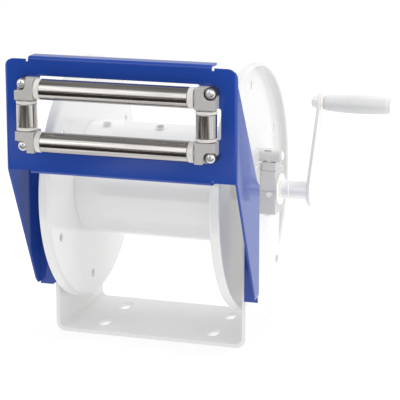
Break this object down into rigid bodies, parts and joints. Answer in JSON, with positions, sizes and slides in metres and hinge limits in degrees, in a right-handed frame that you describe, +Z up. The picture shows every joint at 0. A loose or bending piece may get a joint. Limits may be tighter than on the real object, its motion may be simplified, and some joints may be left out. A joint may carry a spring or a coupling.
{
  "type": "hand crank reel",
  "caption": "Hand-crank reel on a U-shaped base plate, with dished discs on a drum, a cam-lever drag brake and a blue guide bracket with a frame of rollers in front.",
  "frame": {"origin": "middle of the base plate's underside", "axes": "+X along the shaft towards the crank, +Y to the back, away from the roller guide, +Z up"},
  "size_m": [0.4261, 0.3558, 0.3634],
  "materials": {
    "pale_paint": "smooth gloss",
    "blue_paint": "smooth gloss",
    "zinc": "zinc plated",
    "stainless": "polished",
    "nylon_grey": "moulded",
    "nylon_white": "moulded",
    "friction_grey": "moulded",
    "grip_plastic": "moulded",
    "bronze": "sintered"
  },
  "bodies": {
    "frame": {"bottom_roller_pin": "zinc", "bracket_bolt_left_1": "zinc", "bracket_bolt_left_2": "zinc", "bracket_bolt_right_1": "zinc", "bracket_bolt_right_2": "zinc", "brake_anchor_screw_1": "zinc", "brake_anchor_screw_2": "zinc", "brake_block_lower": "friction_grey", "brake_block_upper": "friction_grey", "brake_eyebolt": "zinc", "brake_eyebolt_nut": "zinc", "brake_lock_screw": "zinc", "brake_pressure_pad": "friction_grey", "brake_rear_bolt": "zinc", "brake_rear_nut": "zinc", "corner_block_bottom_left": "nylon_grey", "corner_block_bottom_right": "nylon_grey", "corner_block_top_left": "nylon_grey", "corner_block_top_right": "nylon_grey", "corner_screw_bottom_left": "zinc", "corner_screw_bottom_right": "zinc", "corner_screw_top_left": "zinc", "corner_screw_top_right": "zinc", "frame": "pale_paint", "guide_bracket": "blue_paint", "left_roller_pin": "zinc", "right_roller_pin": "zinc", "shaft_bush_left": "bronze", "shaft_bush_right": "bronze", "top_roller_pin": "zinc"},
    "drum": {"disc_left": "pale_paint", "disc_right": "pale_paint", "drum_barrel": "pale_paint", "drum_screw_1": "zinc", "drum_screw_2": "zinc", "axle": "zinc", "shaft_collar_crank_side": "zinc", "shaft_collar_far_side": "zinc", "brake_thrust_washer": "zinc", "crank_hub": "zinc", "hub_set_screw": "zinc", "crank_arm": "pale_paint", "grip_bolt": "zinc", "grip_washer": "zinc", "grip_nut": "zinc"},
    "grip": {"grip": "grip_plastic"},
    "brake_lever": {"brake_cam_lever": "friction_grey", "brake_cam_pin": "zinc"},
    "top_roller": {"top_roller_tube": "stainless", "top_roller_cap_a": "nylon_white", "top_roller_cap_b": "nylon_white"},
    "bottom_roller": {"bottom_roller_tube": "stainless", "bottom_roller_cap_a": "nylon_white", "bottom_roller_cap_b": "nylon_white"},
    "left_roller": {"left_roller_tube": "stainless", "left_roller_cap_a": "nylon_white", "left_roller_cap_b": "nylon_white"},
    "right_roller": {"right_roller_tube": "stainless", "right_roller_cap_a": "nylon_white", "right_roller_cap_b": "nylon_white"}
  },
  "joints": [
    {"name": "drum_spin", "type": "hinge", "parent": "frame", "child": "drum", "pos_m": [0, 0.004, 0.1845], "axis": [1, 0, 0], "continuous": true},
    {"name": "grip_spin", "type": "hinge", "parent": "drum", "child": "grip", "pos_m": [0.239, 0.004, 0.2955], "axis": [1, 0, 0], "continuous": true},
    {"name": "brake_lever_swing", "type": "hinge", "parent": "frame", "child": "brake_lever", "pos_m": [0.1338, -0.0103, 0.2295], "axis": [1, 0, 0], "range_deg": [-90, 0]},
    {"name": "top_roller_spin", "type": "hinge", "parent": "frame", "child": "top_roller", "pos_m": [0, -0.1855, 0.3273], "axis": [1, 0, 0], "continuous": true},
    {"name": "bottom_roller_spin", "type": "hinge", "parent": "frame", "child": "bottom_roller", "pos_m": [0, -0.1855, 0.2651], "axis": [1, 0, 0], "continuous": true},
    {"name": "left_roller_spin", "type": "hinge", "parent": "frame", "child": "left_roller", "pos_m": [-0.1097, -0.1855, 0.2962], "axis": [0, 0, 1], "continuous": true},
    {"name": "right_roller_spin", "type": "hinge", "parent": "frame", "child": "right_roller", "pos_m": [0.1097, -0.1855, 0.2962], "axis": [0, 0, 1], "continuous": true}
  ]
}
